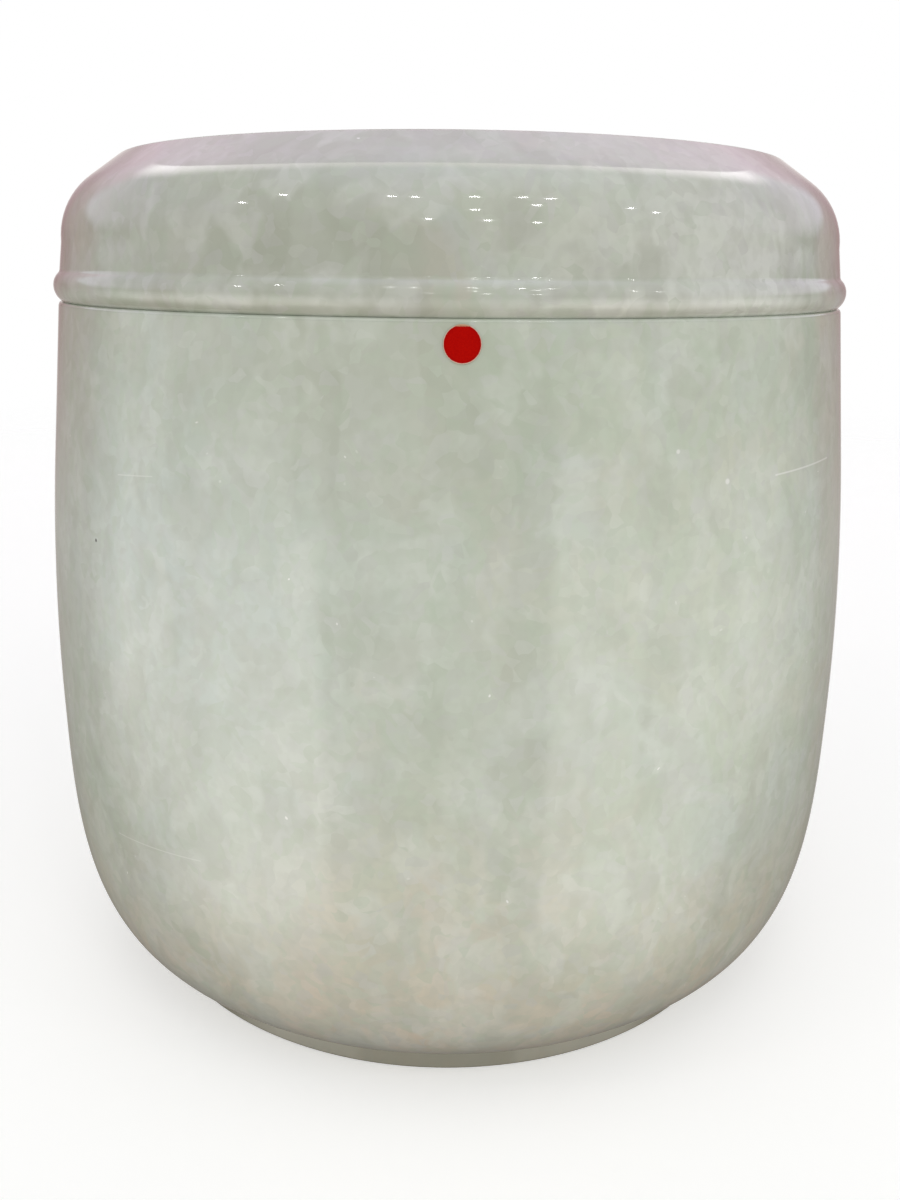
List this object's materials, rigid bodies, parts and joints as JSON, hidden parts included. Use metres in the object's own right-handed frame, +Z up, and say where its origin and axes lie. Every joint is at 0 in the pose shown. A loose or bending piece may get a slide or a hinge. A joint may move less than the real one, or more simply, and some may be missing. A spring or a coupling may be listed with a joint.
{
  "type": "stone urn",
  "caption": "Round lidded urn turned in pale polished stone: hollow barrel-shaped body on a low foot, lift-off lid with a bead at its rim, small red dot on the front.",
  "frame": {"origin": "centre of the flat underside, on the surface that the urn stands on", "axes": "+Z up along the axis of the urn, -Y towards the front that carries the dot, +X to the right seen from the front"},
  "size_m": [0.24, 0.24, 0.2348],
  "materials": {
    "body_stone": "polished, mottled pale grey-green and white",
    "lid_stone": "polished, mottled pale grey-green and white",
    "red_dot": "smooth plain red"
  },
  "bodies": {
    "root": {"urn_body": "body_stone", "lid": "lid_stone", "red_dot": "red_dot"}
  },
  "joints": []
}
